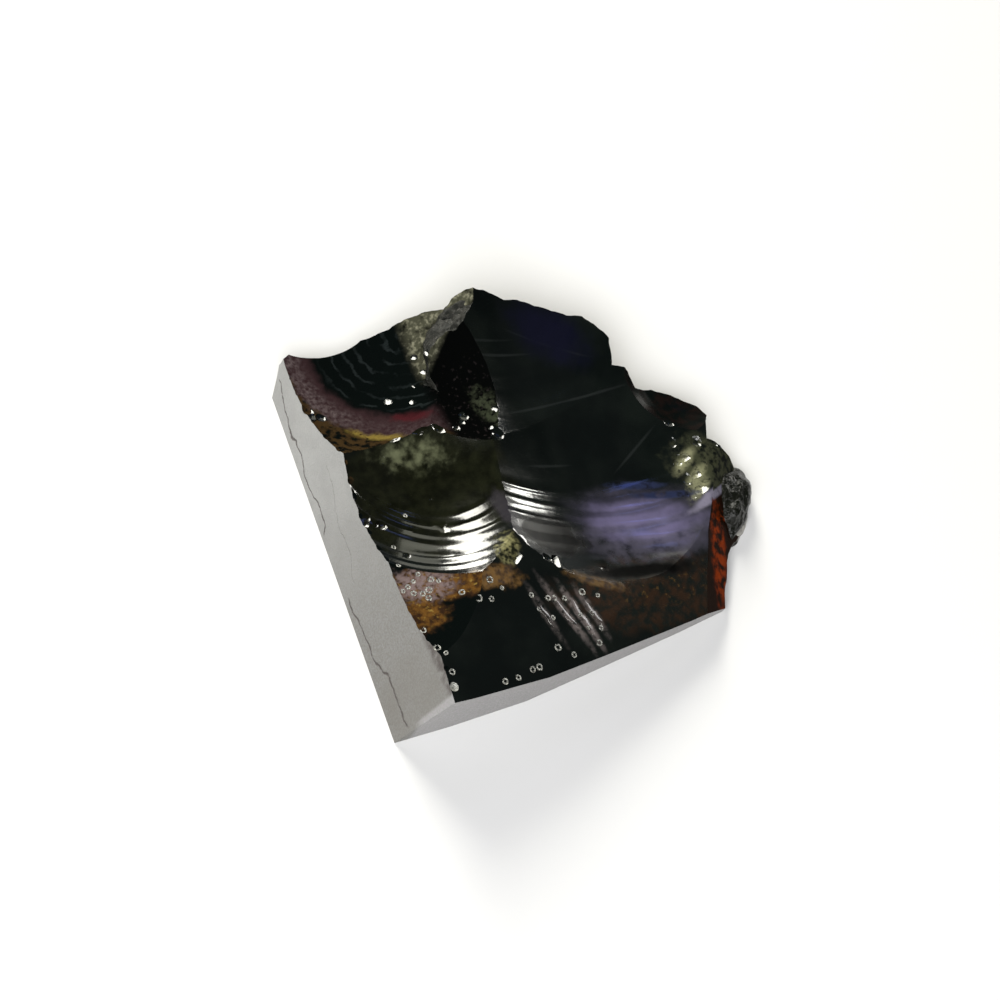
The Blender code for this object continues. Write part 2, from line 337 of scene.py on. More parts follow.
# ---- The crest and the lump ---------------------------------------------------------------------
# Two places where the stone's rough outer rind was left: a crest at the back, which the later
# flakes cut into, and a rubbly lump at the broken end.
CREST = {"from": (17.2, 34.0, 5.2), "to": (19.8, 38.2, 6.6), "radius": 3.9}
CREST_TIP = {"from": (18.3, 40.0, 6.6), "to": (20.9, 40.5, 8.5), "radius": 1.5}
CREST_GRAINS = [(2.2, 1.0), (0.9, 0.38), (0.4, 0.16)]
LUMP = {"from": (42.0, 13.3, 0.2), "to": (43.86, 16.42, 0.9), "radius": 2.68}
LUMP_GRAINS = [(2.4, 0.7), (1.1, 0.40), (0.45, 0.10)]
TIP_GRAINS = [(1.4, 0.35), (0.6, 0.20), (0.3, 0.08)]


def knob(name, size, grains):
    start, end = Vector(size["from"]), Vector(size["to"])
    span = end - start
    bpy.ops.object.select_all(action="DESELECT")
    bpy.ops.mesh.primitive_ico_sphere_add(subdivisions=6, radius=1.0)
    thing = bpy.context.object
    thing.name = name
    for vertex in thing.data.vertices:
        bare = vertex.co.copy()
        slide = 0.5 + 0.5 * bare.dot(span.normalized())
        lumps = sum(height * noise.noise((bare * size["radius"]) / grain + start) for grain, height in grains)
        vertex.co = start + span * slide + bare * (size["radius"] + lumps)
        vertex.co.z = max(vertex.co.z, 0.0)
    return finish_of(thing, rind)


scars = list(SCARS)
strike(scars[0])
shape_with(knob("crest", CREST, CREST_GRAINS), "UNION")
shape_with(knob("crest_tip", CREST_TIP, TIP_GRAINS), "UNION")
for name in scars[1:]:
    strike(name)
shape_with(knob("lump", LUMP, LUMP_GRAINS), "UNION")

# ---- Nicks, hackles and bubbles -----------------------------------------------------------------
# Small scallops broken out of the ridges, which catch the light, four long grooves on the front
# break, splinters lost along the sawn side's upper edge, and rings where bubbles in the glass opened.

# Each nick and chip: its place in plan, its radius and its depth. No two nicks touch. Each is a
# little uneven: the swellings' size across and height are counted in its radius.
NICK_SWELL = [(0.9, 0.10), (0.35, 0.03)]
NICKS = [
    (1.6, 33.7, 1.2, 0.10), (9.8, 21.5, 0.5, 0.03), (38.4, 22.2, 1.2, 0.10),
    (24.5, 9.6, 1.2, 0.10), (33.6, 8.9, 1.4, 0.10), (6.2, 26.6, 0.8, 0.06), (43.2, 20.9, 0.9, 0.08),
]
CHIPS = [
    (18.5, 11.5, 0.8, 0.04), (2.6, 20.1, 1.9, 0.04),
    (4.2, 19.5, 1.2, 0.04), (8.5, 28.3, 2.2, 0.04), (10.8, 28.1, 1.6, 0.04), (13.3, 27.8, 1.6, 0.04),
    (15.0, 27.8, 1.0, 0.04), (15.8, 28.4, 0.9, 0.04), (16.4, 28.9, 1.6, 0.04), (18.6, 25.4, 1.3, 0.04),
    (1.8, 34.3, 1.2, 0.04), (2.8, 33.3, 1.2, 0.04), (9.8, 33.6, 1.5, 0.04), (11.8, 32.5, 1.5, 0.04),
    (10.0, 17.7, 1.8, 0.04),
    (40.8, 21.0, 1.1, 0.04), (39.0, 24.1, 1.1, 0.04), (38.3, 19.6, 1.2, 0.04),
    (38.2, 17.3, 1.4, 0.04), (38.2, 15.5, 1.3, 0.04),
    (19.0, 28.7, 1.2, 0.04), (5.1, 15.7, 0.9, 0.03), (17.9, 26.8, 0.9, 0.03), (12.6, 34.3, 0.8, 0.03),
]
# The chips all face the way that this stone broke along its ridges. These have a nearly flat floor.
CHIP_FACING = Vector((-0.228, 0.392, 0.891)).normalized()
FLAT_CHIPS = [
    (19.3, 11.2, 0.85, 0.10), (14.9, 11.9, 0.70, 0.08), (38.9, 20.0, 0.75, 0.08), (39.4, 17.8, 0.60, 0.08),
    (39.2, 16.1, 0.75, 0.08), (13.9, 37.6, 0.42, 0.05), (14.2, 36.5, 0.45, 0.05), (14.1, 35.6, 0.40, 0.05),
]
CHIP_FLATNESS = 0.13
# Each hackle groove: where it starts and ends in plan.
HACKLES = [
    ((14.9, 8.8), (16.5, 3.6)), ((16.7, 8.9), (19.2, 2.8)),
    ((18.6, 8.0), (20.6, 2.4)), ((20.2, 7.6), (21.7, 3.4)),
]
HACKLE_RADIUS = 1.1
HACKLE_DEPTH = 0.16
HACKLE_WANDER = 0.25
# The half length and half width of a groove's cutter, in lengths and in radii of the groove.
HACKLE_REACH = 0.62
HACKLE_SLIMNESS = 0.5
SPLINTER_SEED = 7
SPLINTER_START, SPLINTER_END = 1.2, 40.0
SPLINTER_SPACING = 1.15
SPLINTER_GAP = (0.6, 1.6)
SPLINTER_RADIUS = (0.45, 0.95)
SPLINTER_DEPTH = (0.10, 0.24)
SPLINTER_STRETCH = (0.8, 1.15)
# How far in from the edge a splinter's middle lies.
SPLINTER_INSET = 0.05
# Two facings count as the same above this dot product.
SAME_FACING = 0.99
# Where along X the long side's upper edge is looked for, and how many halvings find it.
EDGE_BETWEEN = (-1.0, 6.0)
EDGE_HALVINGS = 24
# Each bubble's ring: its place in plan, and how many times the usual radius it has.
BUBBLES = [
    (9.0, 0.4, 1.1), (10.5, 0.5, 1.0), (12.3, 1.0, 1.1), (13.1, 1.1, 1.2), (15.8, 2.6, 1.3),
    (17.3, 1.6, 1.0), (20.6, 2.3, 1.2), (16.6, 7.6, 1.0), (17.3, 7.5, 1.1), (18.4, 7.3, 0.9),
    (20.6, 7.6, 1.3), (19.6, 5.4, 0.8), (20.9, 5.4, 1.0), (19.9, 4.0, 0.7), (21.3, 3.7, 0.9),
    (4.8, 13.2, 0.8), (3.4, 12.2, 0.9), (3.7, 11.4, 1.0), (4.5, 11.1, 1.0), (5.2, 11.3, 1.3),
    (4.9, 10.5, 1.1), (5.8, 12.3, 1.1), (4.1, 12.6, 0.7), (2.8, 11.9, 0.7), (6.4, 11.9, 0.7),
    (8.0, 10.0, 1.1), (9.2, 8.8, 1.4), (11.0, 10.4, 1.3), (10.5, 8.5, 1.0), (3.0, 7.3, 1.2),
    (3.4, 5.0, 1.3), (3.9, 4.2, 0.8), (3.9, 2.3, 1.1), (3.3, 14.6, 0.8), (12.0, 9.4, 0.7),
    (16.4, 5.6, 0.8), (14.9, 8.2, 0.9), (15.2, 6.7, 0.8), (3.9, 17.0, 0.8), (6.6, 20.4, 0.7),
    (22.2, 7.0, 0.8),
]
BUBBLE_RADIUS = 0.22
BUBBLE_WALL = 0.085
# One bubble at the sawn corner opened wide; it is painted pale, partly as dust and partly as a painted glint.
OPEN_BUBBLE = (3.6, 0.9, 0.50, 0.30)


def plumb(x, y):
    """Where a plumb line at this place in plan meets the stone, and which way it faces there."""
    _, place, normal, _ = stone.ray_cast(Vector((x, y, 2.0 * BLOCK_TOP)), Vector((0.0, 0.0, -1.0)))
    return place, normal


def one_tool(name, pieces, material):
    """Several small cutters that don't touch, as one object."""
    bpy.ops.object.select_all(action="DESELECT")
    for piece in pieces:
        piece.select_set(True)
    bpy.context.view_layer.objects.active = pieces[0]
    bpy.ops.object.join()
    pieces[0].name = name
    return finish_of(pieces[0], material)


def ball(x, y, radius, depth, stretch=(1.0, 1.0, 1.0), detail=4, facing=None, flat=1.0):
    """A ball sunk into the stone there, along the surface's normal unless another facing is given.

    Its lower half is pressed to this part of its height, so 1.0 leaves it round.
    """
    place, normal = plumb(x, y)
    normal = facing or normal
    bpy.ops.mesh.primitive_ico_sphere_add(subdivisions=detail, radius=radius)
    thing = bpy.context.object
    swell = [(size * radius, height * radius) for size, height in NICK_SWELL]
    for vertex in thing.data.vertices:
        vertex.co += vertex.co.normalized() * rough(vertex.co + place, swell)
        vertex.co = Vector(a * b for a, b in zip(vertex.co, stretch))
        below = min(0.0, vertex.co.dot(normal))
        vertex.co += place + normal * (flat * radius - depth + (flat - 1.0) * below)
    return thing


shape_with(one_tool("nicks", [ball(*nick) for nick in NICKS], glass), "DIFFERENCE")
for chip in CHIPS:
    shape_with(finish_of(ball(*chip, detail=5, facing=CHIP_FACING), glass), "DIFFERENCE")
for chip in FLAT_CHIPS:
    flat_ball = ball(*chip, detail=5, facing=CHIP_FACING, flat=CHIP_FLATNESS)
    shape_with(finish_of(flat_ball, glass), "DIFFERENCE")

grooves = []
for start, end in HACKLES:
    head, facing = plumb(*start)
    foot, _ = plumb(*end)
    run = (foot - head).normalized()
    frame_of_groove = Matrix((run, facing.cross(run), facing)).transposed()
    bpy.ops.object.select_all(action="DESELECT")
    bpy.ops.mesh.primitive_ico_sphere_add(subdivisions=5, radius=1.0)
    groove = bpy.context.object
    middle = (head + foot) / 2 + facing * (HACKLE_RADIUS - HACKLE_DEPTH)
    half_length = HACKLE_REACH * (foot - head).length
    half_width = HACKLE_SLIMNESS * HACKLE_RADIUS
    for vertex in groove.data.vertices:
        along, across, up = vertex.co
        wander = HACKLE_WANDER * noise.noise(Vector((3.0 * along, start[0], 0.0)))
        shape = Vector((along * half_length, across * half_width + wander, up * HACKLE_RADIUS))
        vertex.co = middle + frame_of_groove @ shape
    grooves.append(groove)
for groove in grooves:
    shape_with(finish_of(groove, glass), "DIFFERENCE")

rng = random.Random(SPLINTER_SEED)
splinters = []
reach = SPLINTER_START
while reach < SPLINTER_END:
    inner, outer = EDGE_BETWEEN
    for _ in range(EDGE_HALVINGS):
        middle = (inner + outer) / 2
        place, facing = plumb(middle, reach)
        on_saw = place is None or facing.dot(SIDE_OUT) > SAME_FACING
        inner, outer = (middle, outer) if on_saw else (inner, middle)
    size = rng.uniform(*SPLINTER_RADIUS)
    depth = rng.uniform(*SPLINTER_DEPTH) * size
    stretch = (1.0, rng.uniform(*SPLINTER_STRETCH), 1.0)
    splinters.append(ball(outer + SPLINTER_INSET, reach, size, depth, stretch, detail=3))
    reach += SPLINTER_SPACING + size * rng.uniform(*SPLINTER_GAP)
shape_with(one_tool("splinters", splinters, stained), "DIFFERENCE")

rings = []
for x, y, wider in BUBBLES:
    place, facing = plumb(x, y)
    size = BUBBLE_RADIUS * wider
    bpy.ops.mesh.primitive_torus_add(
        major_radius=size, minor_radius=BUBBLE_WALL, major_segments=20, minor_segments=8,
        location=place, rotation=Vector(UP).rotation_difference(facing).to_euler(),
    )
    bpy.ops.object.transform_apply()
    rings.append(bpy.context.object)
# The rings are painted pale: dust, and painted glints.
shape_with(one_tool("bubbles", rings, dust_and_glint), "DIFFERENCE")
shape_with(finish_of(ball(*OPEN_BUBBLE), dust_and_glint), "DIFFERENCE")


# A face is the saw's where it lies this near the saw's plane. The front side's strips each face a
# little differently, so their facing is held to less, and they lie nearer than this along Y.
SAW_NEARNESS = 0.02
FRONT_FACING, FRONT_REACH = 0.9, 4.2
# A sharper edge than this stays an edge, and the rest of the stone is shaded smooth.
SHARPEST_SMOOTHED = math.radians(28.0)


def saw_faces():
    """The faces of the base and of the two sawn sides get the saw's finish."""
    stone.data.materials.append(sawn)
    for face in stone.data.polygons:
        if face.material_index != stone.data.materials.find("old_wall"):
            continue
        middle = face.center
        out_of_side = abs(middle.x - SIDE_FOOT - SIDE_LEAN * middle.z)
        on_side = out_of_side < SAW_NEARNESS and face.normal.dot(SIDE_OUT) > SAME_FACING
        in_front = middle.y < FRONT_REACH and middle.x < SAWN_FRONT[-1][0]
        on_front = in_front and face.normal.y < -FRONT_FACING
        on_base = middle.z < SAW_NEARNESS / 2 and face.normal.z < -SAME_FACING
        if on_side or on_front or on_base:
            face.material_index = len(stone.data.materials) - 1


saw_faces()
alone(stone)
bpy.ops.object.shade_smooth_by_angle(angle=SHARPEST_SMOOTHED)
stone.data.transform(Matrix.Scale(MM, 4) @ Matrix.Translation(CORNER))
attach(stone, "root")
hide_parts("shungite_stone")

# ---- The finishes: the broken glass -------------------------------------------------------------
# The fresh breaks are black glass with a strong gloss. Its bowl by the sawn side is olive, the near
# side of the great bowl carries a violet film and a dull tarnish, and rust has crept over the saddle
# between the two and along the front break. The film's violet sheen and blue reflections are painted
# into the colour, partly with a metallic tint, as are pale highlights on some ridges and chips.


class Shade:
    """One socket of a finish, so that a mask or a mix can be written as a sum."""

    def __init__(self, tree, socket):
        self.tree = tree
        self.socket = socket

    def node(self, kind, settings=None, sockets=None, output=0):
        made = self.tree.nodes.new(kind)
        for name, value in (settings or {}).items():
            setattr(made, name, value)
        for key, value in (sockets or {}).items():
            if isinstance(value, Shade):
                self.tree.links.new(value.socket, made.inputs[key])
            else:
                made.inputs[key].default_value = value
        return Shade(self.tree, made.outputs[output])

    def math(self, operation, *values):
        return self.node("ShaderNodeMath", {"operation": operation}, dict(enumerate(values)))

    def __add__(self, other):
        return self.math("ADD", self, other)

    __radd__ = __add__

    def __sub__(self, other):
        return self.math("SUBTRACT", self, other)

    def __rsub__(self, other):
        return self.math("SUBTRACT", other, self)

    def __mul__(self, other):
        return self.math("MULTIPLY", self, other)

    __rmul__ = __mul__

    def or_else(self, other):
        return self.math("MAXIMUM", self, other)

    def step(self, low, high):
        """0 at low and 1 at high, eased between them, whichever of the two is larger."""
        settings = {"interpolation_type": "SMOOTHSTEP"}
        return self.node("ShaderNodeMapRange", settings, {"Value": self, 1: low, 2: high})

    def tint(self, under, over):
        """The colour under where this mask is 0, and the colour over where it is 1."""
        tones = {6: under, 7: over}
        tones = {key: tone if isinstance(tone, Shade) else (*tone, 1.0) for key, tone in tones.items()}
        return self.node("ShaderNodeMix", {"data_type": "RGBA"}, {0: self, **tones}, 2)

    def grain(self, size, low=0.0, high=1.0, detail=3.0):
        """Lumps of this size in millimetres, 0 where their noise is low and 1 where it is high."""
        sockets = {"Vector": self, "Scale": 1.0 / size, "Detail": detail}
        lumps = self.node("ShaderNodeTexNoise", None, sockets)
        return lumps if (low, high) == (0.0, 1.0) else lumps.step(low, high)

    def part(self, axis):
        return self.node("ShaderNodeSeparateXYZ", None, {0: self}, "XYZ".index(axis))

    def out_from(self, centre, radii=(1.0, 1.0), turn=0.0, ragged=0.0, grain=1.6):
        """How far this place lies from an upright line, counted in the radii of an oval round it."""
        sockets = {
            "Vector": self,
            "Location": (*centre, 0.0),
            "Rotation": (0.0, 0.0, math.radians(turn)),
            "Scale": (*radii, 1.0),
        }
        own = self.node("ShaderNodeMapping", {"vector_type": "TEXTURE"}, sockets)
        flat = own.node("ShaderNodeVectorMath", {"operation": "MULTIPLY"}, {0: own, 1: (1.0, 1.0, 0.0)})
        out = flat.node("ShaderNodeVectorMath", {"operation": "LENGTH"}, {0: flat}, "Value")
        return out + (self.grain(grain) - 0.5) * (2.0 * ragged) if ragged else out

    def oval(self, centre, radii, turn=0.0, soft=0.5, ragged=0.6, grain=2.0):
        """1 inside an oval of this plan and 0 outside it, with a soft and ragged edge."""
        return self.out_from(centre, radii, turn, ragged, grain).step(1.0 + soft / 2, 1.0 - soft / 2)

    def streak(self, ends, longer, width, soft, ragged, grain):
        """The oval that runs from one place in plan to another, its radius this part of the way."""
        (x, y), (end_x, end_y) = ends
        middle = ((x + end_x) / 2, (y + end_y) / 2)
        turn = math.degrees(math.atan2(end_y - y, end_x - x))
        return self.oval(middle, (longer * math.dist(*ends), width), turn, soft, ragged, grain)


def open_finish(material):
    """The material's shader, and the place on the stone in millimetres from its sawn corner."""
    material.use_nodes = True
    tree = material.node_tree
    shader = tree.nodes["Principled BSDF"]
    start = Shade(tree, tree.nodes.new("ShaderNodeTexCoord").outputs["Object"])
    sockets = {"Vector": start, "Location": tuple(-CORNER), "Scale": (1 / MM, 1 / MM, 1 / MM)}
    return shader, start.node("ShaderNodeMapping", None, sockets)


def feed(shader, **values):
    for name, value in values.items():
        value.tree.links.new(value.socket, shader.inputs[name.replace("_", " ")])


def bump(height, depth):
    """The normal of a surface that this height, from 0 to 1, raises by this depth in millimetres."""
    return height.node("ShaderNodeBump", None, {"Height": height, "Distance": depth * MM, "Strength": 1.0})


BLACK = (0.0016, 0.0026, 0.0024)
INK = (0.0045, 0.0062, 0.0052)
OLIVE_BLACK = (0.0024, 0.0028, 0.0013)
OLIVE = (0.0072, 0.0080, 0.0036)
MOSS = (0.092, 0.099, 0.056)
SADDLE_GOLD = (0.205, 0.192, 0.088)
SADDLE_GREY = (0.036, 0.032, 0.040)
END_OLIVE = (0.030, 0.032, 0.018)
END_PAINTED_HIGHLIGHT = (0.165, 0.165, 0.095)
LAVENDER_HIGHLIGHT = (0.150, 0.140, 0.185)
RUST = (0.095, 0.050, 0.013)
BROWN = (0.019, 0.0098, 0.0052)
BRONZE = (0.072, 0.039, 0.010)
HACKLE_PALE = (0.112, 0.096, 0.092)
# The film's violet is partly a metallic tint and partly painted sheen.
VIOLET_SHEEN = (0.145, 0.128, 0.235)
VIOLET_GREY_SHEEN = (0.048, 0.045, 0.062)
BLUE_REFLECTION = (0.026, 0.034, 0.080)
NAVY = (0.0030, 0.0033, 0.0095)
RIDGE_HIGHLIGHT_GREY = (0.0105, 0.0125, 0.0120)
TARNISH = (0.0034, 0.0034, 0.0031)
TARNISH_DARK = (0.0013, 0.0013, 0.0012)
# Each stain lies in an oval: its middle, its radii, its turn, how soft and how ragged its edge is,
# and the size of the rags.
GLASS_STAINS = {
    "olive": ((9.3, 22.3), (8.6, 8.2), -12.0, 0.35, 0.3),
    "moss": ((9.2, 26.4), (3.4, 1.5), -12.0, 1.2, 0.9, 1.0),
    "saddle_gold": ((14.1, 13.3), (1.1, 1.5), -20.0, 0.9, 0.7, 0.8),
    "saddle_grey": ((16.0, 17.2), (0.9, 2.6), 8.0, 0.9, 0.5, 0.9),
    "end_olive": ((41.0, 19.2), (3.6, 2.6), -30.0, 0.9, 0.7, 1.0),
    # Painted highlight: a pale lavender band along the end's ridge.
    "lavender_highlight": ((40.4, 15.4), (3.4, 0.6), 22.0, 0.8, 0.35, 1.0),
    "rust": ((11.8, 10.6), (2.4, 1.2), -10.0, 0.7, 0.7, 1.0),
    "brown": ((28.6, 6.6), (11.0, 3.9), -2.0, 0.5, 0.5),
    "bronze": ((22.6, 8.5), (3.0, 0.6), -24.0, 0.9, 0.6, 0.8),
    "bronze_spots": ((31.0, 6.6), (6.0, 2.0), 6.0, 0.9, 0.5, 1.0),
    "sheen_film": ((32.0, 14.9), (7.6, 3.3), -12.6, 0.9, 0.3),
    "sheen_film_heart": ((31.4, 14.4), (5.4, 2.7), -14.0, 1.2, 0.4),
    "sheen_film_skirt": ((31.8, 12.6), (7.6, 3.0), -6.0, 0.7, 0.3),
    # Painted reflections: blue bars along the great bowl's near ripples.
    "blue_reflection": ((32.6, 18.7), (2.9, 0.45), -13.0, 0.9, 0.3, 1.0),
    "far_blue_reflection": ((35.6, 16.8), (3.6, 0.40), -12.0, 0.9, 0.3, 1.0),
    "bowl_tarnish": ((20.2, 14.4), (3.9, 2.4), -20.0, 0.6, 0.3, 1.2),
    "rim_tarnish": ((28.2, 8.9), (6.3, 0.9), -5.0, 0.9, 0.4, 1.2),
    "navy": ((28.5, 36.5), (4.2, 2.6), -40.0, 1.2, 0.5),
}
# Painted highlights: pale gold spots on the end's chips, where they would catch the light.
END_HIGHLIGHT_SPOTS = [(38.8, 19.9), (39.3, 17.8), (39.0, 16.3)]
END_HIGHLIGHT_OVAL = ((1.5, 0.6), 38.0, 1.3, 0.5, 0.7)
# The streaks down the hackles: how strong each is, and their shape.
HACKLE_STREAKS = (0.35, 0.75, 1.0, 0.6)
HACKLE_STREAK = (0.56, 0.42, 1.1, 0.45, 0.7)
# Painted sheen: the film's bands run in long ovals round a place: their radii, turn and raggedness,
# and the size of their rags. A count of 2 pi would be one band to each radius.
SHEEN_BANDS = ((28.2, 25.0), (1.8, 1.0), -12.6, 0.4, 3.0)
SHEEN_BAND_COUNT = 3.4
# Painted highlights: faint pale lines along the ridges that run from the blows across the sweep and the great
# bowl, and their shape.
FAINT_RIDGE_HIGHLIGHTS = [
    ((15.6, 36.4), (22.5, 36.3)), ((17.5, 34.9), (24.5, 34.7)), ((20.8, 28.3), (27.2, 28.9)),
    ((27.2, 28.9), (34.5, 29.3)), ((24.6, 36.9), (31.5, 33.6)), ((31.6, 21.0), (36.6, 24.2)),
    ((21.0, 22.4), (25.4, 22.2)),
]
FAINT_HIGHLIGHT_SHAPE = (0.5, 0.14, 1.2, 0.4, 1.6)
GLASS_IOR = 1.5
GLASS_ROUGHNESS = 0.09
GLASS_BUMP = 0.022


def with_gold_and_highlights(place, stain, colour):
    """Olive and moss in the bowl by the sawn side, gold and grey on the saddle, and the end's olive stain,
    painted highlights and a painted lavender highlight.
    """
    colour = stain["olive"].tint(colour, place.grain(1.4, 0.3, 0.75).tint(OLIVE_BLACK, OLIVE))
    colour = (stain["moss"] * place.grain(1.2, 0.35, 0.75)).tint(colour, MOSS)
    colour = stain["saddle_gold"].tint(colour, place.grain(0.6, 0.35, 0.65).tint(OLIVE, SADDLE_GOLD))
    colour = (stain["end_olive"] * place.grain(0.7, 0.35, 0.6)).tint(colour, END_OLIVE)
    # Painted highlights on the end's chips.
    for spot in END_HIGHLIGHT_SPOTS:
        patch = place.oval(spot, *END_HIGHLIGHT_OVAL)
        colour = (patch * place.grain(0.5, 0.25, 0.55)).tint(colour, END_PAINTED_HIGHLIGHT)
    # Painted highlight along the end's ridge, tinted lavender.
    colour = (stain["lavender_highlight"] * place.grain(1.2, 0.2, 0.45)).tint(colour, LAVENDER_HIGHLIGHT)
    return (stain["saddle_grey"] * 0.5).tint(colour, SADDLE_GREY)


def with_rust(place, stain, colour):
    """Rust, brown and bronze on the front break, and the pale streaks down its hackles."""
    colour = stain["rust"].tint(colour, place.grain(0.8, 0.32, 0.62).tint(BROWN, RUST))
    colour = stain["brown"].tint(colour, place.grain(1.0, 0.35, 0.68).tint(INK, BROWN))
    colour = stain["bronze"].tint(colour, place.grain(0.7, 0.3, 0.6).tint(BROWN, BRONZE))
    colour = (stain["bronze_spots"] * place.grain(0.7, 0.58, 0.72) * 0.6).tint(colour, BRONZE)
    for ends, strength in zip(HACKLES, HACKLE_STREAKS):
        streak = place.streak(ends, *HACKLE_STREAK)
        colour = (streak * place.grain(0.5, 0.25, 0.6) * strength).tint(colour, HACKLE_PALE)
    return colour


def with_film_and_sheen(place, stain, colour, sheen_bands, blue_reflection):
    """The violet film of the great bowl: its sheen and sheen bands painted into the colour, and its painted
    blue reflections.
    """
    colour = (stain["sheen_film_skirt"] * place.grain(1.6, 0.25, 0.6) * 0.75).tint(colour, VIOLET_GREY_SHEEN)
    sheen_tone = stain["sheen_film_heart"].tint(VIOLET_GREY_SHEEN, VIOLET_SHEEN)
    colour = (stain["sheen_film"] * (0.32 + 0.65 * sheen_bands)).tint(colour, sheen_tone)
    # Painted reflection: the blue bars at the film's edge.
    return (blue_reflection * place.grain(1.0, 0.3, 0.6)).tint(colour, BLUE_REFLECTION)


def finish_glass():
    shader, place = open_finish(glass)
    shader.inputs["IOR"].default_value = GLASS_IOR
    stain = {name: place.oval(*oval) for name, oval in GLASS_STAINS.items()}
    cloud = place.grain(6.0)
    fine = place.grain(0.35, detail=2.0)
    # Painted sheen bands across the film.
    sheen_bands = place.out_from(*SHEEN_BANDS)
    sheen_bands = sheen_bands.math("SINE", sheen_bands * SHEEN_BAND_COUNT).step(-0.9, 0.9)
    sheen_bands = sheen_bands * (0.45 + 0.55 * place.grain(2.4, 0.35, 0.65))
    # The blue bars are painted reflections, also fed to Metallic.
    blue_reflection = stain["blue_reflection"].or_else(stain["far_blue_reflection"])
    tarnish = stain["bowl_tarnish"].or_else(stain["rim_tarnish"])

    colour = cloud.step(0.35, 0.75).tint(BLACK, INK)
    colour = with_rust(place, stain, with_gold_and_highlights(place, stain, colour))
    colour = with_film_and_sheen(place, stain, colour, sheen_bands, blue_reflection)
    # Painted highlights along the faint ridges.
    for ends in FAINT_RIDGE_HIGHLIGHTS:
        colour = (place.streak(ends, *FAINT_HIGHLIGHT_SHAPE) * 0.8).tint(colour, RIDGE_HIGHLIGHT_GREY)
    colour = tarnish.tint(colour, place.grain(0.9, 0.3, 0.7).tint(TARNISH_DARK, TARNISH))
    colour = stain["navy"].tint(colour, NAVY)

    dulled = stain["rust"].or_else(stain["bronze"])
    dulling = cloud * 0.05 + dulled * 0.25 + stain["brown"] * 0.12 + tarnish * 0.2 + fine * 0.04
    feed(
        shader,
        Base_Color=colour,
        Metallic=(stain["sheen_film"] * sheen_bands * 0.35).or_else(blue_reflection * 0.5).or_else(tarnish),
        Roughness=GLASS_ROUGHNESS + dulling,
        Normal=bump(place.grain(1.1, detail=4.0) * 0.7 + fine * (0.15 + 1.6 * dulled), GLASS_BUMP),
    )


# ---- The finishes: the stained breaks -----------------------------------------------------------
# The older breaks lost their gloss: the hollow by the crest has a black heart, a plum ring and an
# ochre rim, the dish by the sawn side is rusty and mauve, the bevelled end glows red-orange under a
# brown skin, and the small flake above it is umber.
SOOT = (0.0017, 0.0026, 0.0024)
ARC_HIGHLIGHT = (0.0085, 0.0110, 0.0110)
PLUM = (0.0200, 0.0105, 0.0115)
PLUM_PALE = (0.066, 0.050, 0.051)
SHELF_BLACK = (0.0012, 0.0014, 0.0013)
SHELF_SPECK = (0.011, 0.009, 0.009)
SHELF_EDGE = (0.024, 0.028, 0.017)
WINE = (0.042, 0.006, 0.008)
OCHRE = (0.028, 0.017, 0.007)
STRAW = (0.125, 0.090, 0.021)
LICHEN = (0.044, 0.044, 0.029)
LICHEN_PALE = (0.170, 0.165, 0.115)
DISH_RUST = (0.085, 0.040, 0.009)
DISH_GOLD = (0.165, 0.105, 0.025)
MAUVE = (0.125, 0.093, 0.090)
EMBER = (0.170, 0.022, 0.0020)
EMBER_DARK = (0.0090, 0.0040, 0.0022)
UMBER = (0.0055, 0.0035, 0.0030)
# The hollow's rings run round this place, with this raggedness and size of rags.
HOLLOW_HEART = (13.5, 40.7)
HOLLOW_RAGS = (0.8, 1.3)
# How far from it the plum ring, its pale outside and the rim begin and are full.
PLUM_RING, PALE_RING, RIM = (9.2, 10.4), (10.0, 12.0), (12.5, 13.4)
# The painted highlights on the arcs of its black heart lie 2 pi over this count apart.
ARC_HIGHLIGHT_COUNT = 4.4
STAINED_PATCHES = {
    "wine": ((10.9, 30.9), (1.8, 0.7), -18.0, 0.9, 0.6, 0.8),
    "straw": ((6.9, 29.8), (2.6, 0.9), -28.0, 0.7, 0.5, 0.7),
    "shelf_edge": ((18.7, 29.2), (1.1, 2.6), 10.0, 0.9, 0.7, 0.8),
    "crest_tip": ((19.3, 40.9), (2.0, 1.0), 25.0, 0.6, 0.5, 0.7),
    "dish_rust": ((7.6, 11.4), (6.4, 1.8), -10.0, 0.5, 0.6, 1.2),
    "corner_rust": ((3.9, 9.0), (2.2, 2.0), 0.0, 0.6, 0.7, 1.0),
    "mauve": ((4.6, 12.0), (3.0, 1.6), -12.0, 0.9, 0.6, 0.7),
    "ember": ((38.9, 9.0), (5.2, 1.1), 75.0, 0.9, 0.5, 0.9),
    "upper_ember": ((41.6, 13.2), (1.8, 0.9), 50.0, 0.9, 0.6, 0.8),
}
# The bevelled end's ridge climbs this much of Y for each millimetre of X.
RIDGE_SLOPE = 0.48
STAINED_IOR = 1.45
STAINED_ROUGHNESS = 0.30
STAINED_BUMP = 0.06
COAT_ROUGHNESS = 0.25
END_COAT = 0.06


